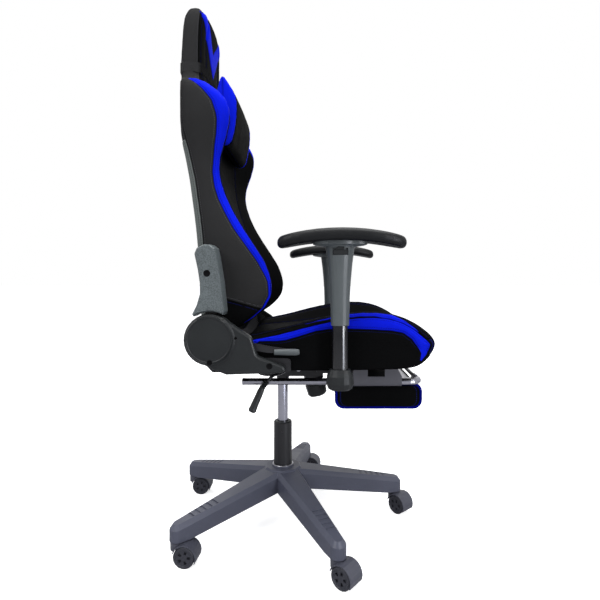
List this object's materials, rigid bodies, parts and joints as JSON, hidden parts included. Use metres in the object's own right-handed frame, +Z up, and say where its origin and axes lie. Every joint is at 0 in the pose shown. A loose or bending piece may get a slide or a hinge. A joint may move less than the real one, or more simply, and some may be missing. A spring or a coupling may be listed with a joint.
{
  "type": "gaming chair",
  "caption": "High-backed swivel chair with bolstered seat and back, neck pillow, arms, pull-out footrest and a five-legged base on casters.",
  "frame": {"origin": "on the floor, at the centre of the chair's plan outline", "axes": "+X the way the sitter faces, +Y to the sitter's left, +Z up"},
  "size_m": [0.6672, 0.6693, 1.334],
  "materials": {
    "base_nylon": "dark bluish-grey glass-filled nylon with a fine moulded grain and a soft sheen",
    "caster_nylon": "dark bluish-grey moulded nylon, slightly glossy on the wheel treads",
    "cover_plastic": "near-black textured polypropylene covers and grips",
    "arm_plastic": "dark grey moulded plastic with a fine grain",
    "arm_pad_foam": "soft black polyurethane skin, matt",
    "chrome": "polished chrome plating",
    "painted_steel": "black powder coat with a fine orange-peel texture",
    "steel": "plain zinc-plated steel",
    "black_blue_cover": "black artificial leather with vivid blue and dark grey panels, fine pebble grain, stitched seams",
    "grey_cover": "grey artificial leather over the back shell",
    "webbing": "black woven elastic webbing"
  },
  "bodies": {
    "base": {"star_base": "base_nylon", "gas_column_tube": "painted_steel", "column_bushing": "cover_plastic"},
    "caster_1": {"caster_stem_1": "steel", "caster_hood_1": "caster_nylon"},
    "wheels_1": {"caster_wheels_1": "caster_nylon"},
    "caster_2": {"caster_stem_2": "steel", "caster_hood_2": "caster_nylon"},
    "wheels_2": {"caster_wheels_2": "caster_nylon"},
    "caster_3": {"caster_stem_3": "steel", "caster_hood_3": "caster_nylon"},
    "wheels_3": {"caster_wheels_3": "caster_nylon"},
    "caster_4": {"caster_stem_4": "steel", "caster_hood_4": "caster_nylon"},
    "wheels_4": {"caster_wheels_4": "caster_nylon"},
    "caster_5": {"caster_stem_5": "steel", "caster_hood_5": "caster_nylon"},
    "wheels_5": {"caster_wheels_5": "caster_nylon"},
    "piston": {"piston_rod": "steel"},
    "lift": {"gas_cylinder": "chrome", "mech_housing": "painted_steel", "tilt_pivot_pin": "steel"},
    "lever": {"lift_lever": "painted_steel", "lift_lever_grip": "cover_plastic"},
    "button": {"release_button": "steel"},
    "seat": {"mech_seat_plate": "painted_steel", "seat_frame": "painted_steel", "seat_cushion": "black_blue_cover", "recliner_bracket_right": "painted_steel", "recliner_cover_right": "cover_plastic", "arm_bracket_right": "painted_steel", "arm_foot_cap_right": "arm_plastic", "footrest_rail_right": "painted_steel", "recliner_bracket_left": "painted_steel", "recliner_cover_left": "cover_plastic", "arm_bracket_left": "painted_steel", "arm_foot_cap_left": "arm_plastic", "footrest_rail_left": "painted_steel", "tilt_spring": "steel"},
    "knob": {"tension_knob": "cover_plastic"},
    "back": {"back_arm_right": "painted_steel", "back_arm_left": "painted_steel", "back_arm_cover_right": "cover_plastic", "back_arm_cover_left": "cover_plastic", "back_frame": "painted_steel", "back_cushion": "black_blue_cover", "back_cover": "grey_cover", "neck_pillow": "black_blue_cover", "pillow_strap": "webbing"},
    "recline_handle": {"recline_lever": "painted_steel", "recline_lever_grip": "cover_plastic"},
    "arm_right": {"arm_sleeve_right": "arm_plastic", "arm_pad_right": "arm_pad_foam"},
    "trigger_right": {"arm_trigger_right": "cover_plastic"},
    "arm_left": {"arm_sleeve_left": "arm_plastic", "arm_pad_left": "arm_pad_foam"},
    "trigger_left": {"arm_trigger_left": "cover_plastic"},
    "footrest": {"footrest_tube": "chrome"},
    "footpad": {"footrest_pad_frame": "chrome", "footrest_pad": "black_blue_cover"}
  },
  "joints": [
    {"name": "caster_swivel_1", "type": "hinge", "parent": "base", "child": "caster_1", "pos_m": [0.27421, 0.04192, 0.053], "axis": [0, 0, 1], "continuous": true},
    {"name": "wheel_spin_1", "type": "hinge", "parent": "caster_1", "child": "wheels_1", "pos_m": [0.28854, 0.02657, 0.025], "axis": [0.7314, 0.682, 0], "continuous": true},
    {"name": "caster_swivel_2", "type": "hinge", "parent": "base", "child": "caster_2", "pos_m": [0.01723, 0.31179, 0.053], "axis": [0, 0, 1], "continuous": true},
    {"name": "wheel_spin_2", "type": "hinge", "parent": "caster_2", "child": "wheels_2", "pos_m": [0.03791, 0.30815, 0.025], "axis": [0.1736, 0.9848, 0], "continuous": true},
    {"name": "caster_swivel_3", "type": "hinge", "parent": "base", "child": "caster_3", "pos_m": [-0.31885, 0.15077, 0.053], "axis": [0, 0, 1], "continuous": true},
    {"name": "wheel_spin_3", "type": "hinge", "parent": "caster_3", "child": "wheels_3", "pos_m": [-0.29785, 0.15077, 0.025], "axis": [0, 1, 0], "continuous": true},
    {"name": "caster_swivel_4", "type": "hinge", "parent": "base", "child": "caster_4", "pos_m": [-0.26956, -0.21861, 0.053], "axis": [0, 0, 1], "continuous": true},
    {"name": "wheel_spin_4", "type": "hinge", "parent": "caster_4", "child": "wheels_4", "pos_m": [-0.24864, -0.22044, 0.025], "axis": [0.0872, 0.9962, 0], "continuous": true},
    {"name": "caster_swivel_5", "type": "hinge", "parent": "base", "child": "caster_5", "pos_m": [0.09697, -0.28588, 0.053], "axis": [0, 0, 1], "continuous": true},
    {"name": "wheel_spin_5", "type": "hinge", "parent": "caster_5", "child": "wheels_5", "pos_m": [0.11329, -0.2991, 0.025], "axis": [0.6293, 0.7771, 0], "continuous": true},
    {"name": "seat_swivel", "type": "hinge", "parent": "base", "child": "piston", "pos_m": [-0.04, 0, 0.088], "axis": [0, 0, 1], "continuous": true},
    {"name": "seat_height", "type": "slide", "parent": "piston", "child": "lift", "axis": [0, 0, 1], "range_m": [-0.08, 0]},
    {"name": "lift_lever_pull", "type": "hinge", "parent": "lift", "child": "lever", "pos_m": [-0.024, -0.0485, 0.4229], "axis": [-1, 0, 0], "range_deg": [0, 4], "stiffness_Nm_per_rad": 10, "springref_deg": -2.86},
    {"name": "release_button_press", "type": "slide", "parent": "lift", "child": "button", "axis": [0, 0, 1], "range_m": [-0.0036, 0]},
    {"name": "seat_tilt", "type": "hinge", "parent": "lift", "child": "seat", "pos_m": [0.005, 0, 0.418], "axis": [0, -1, 0], "range_deg": [0, 8], "stiffness_Nm_per_rad": 150, "springref_deg": -8.59, "deforming": ["tilt_spring"]},
    {"name": "tension_knob_turn", "type": "hinge", "parent": "seat", "child": "knob", "pos_m": [0.0424, 0, 0.398], "axis": [-0.225, 0, 0.9744], "range_deg": [-540, 540]},
    {"name": "back_recline", "type": "hinge", "parent": "seat", "child": "back", "pos_m": [-0.182, 0, 0.5255], "axis": [0, -1, 0], "range_deg": [0, 70]},
    {"name": "recline_lever_pull", "type": "hinge", "parent": "seat", "child": "recline_handle", "pos_m": [-0.182, 0, 0.5255], "axis": [0, -1, 0], "range_deg": [0, 18], "stiffness_Nm_per_rad": 5, "springref_deg": -5.73},
    {"name": "arm_height_right", "type": "slide", "parent": "seat", "child": "arm_right", "axis": [0, 0, 1], "range_m": [-0.07, 0]},
    {"name": "arm_trigger_pull_right", "type": "slide", "parent": "arm_right", "child": "trigger_right", "axis": [0, 0, 1], "range_m": [0, 0.004], "stiffness_N_per_m": 400, "springref_m": -0.001},
    {"name": "arm_height_left", "type": "slide", "parent": "seat", "child": "arm_left", "axis": [0, 0, 1], "range_m": [-0.07, 0]},
    {"name": "arm_trigger_pull_left", "type": "slide", "parent": "arm_left", "child": "trigger_left", "axis": [0, 0, 1], "range_m": [0, 0.004], "stiffness_N_per_m": 400, "springref_m": -0.001},
    {"name": "footrest_slide", "type": "slide", "parent": "seat", "child": "footrest", "axis": [1, 0, 0], "range_m": [0, 0.2]},
    {"name": "footpad_flip", "type": "hinge", "parent": "footrest", "child": "footpad", "pos_m": [0.296, 0, 0.4147], "axis": [0, -1, 0], "range_deg": [0, 180]}
  ],
  "couplings": [
    {"joint": "release_button_press", "follows": "lift_lever_pull", "m_per_rad": -0.0485}
  ]
}
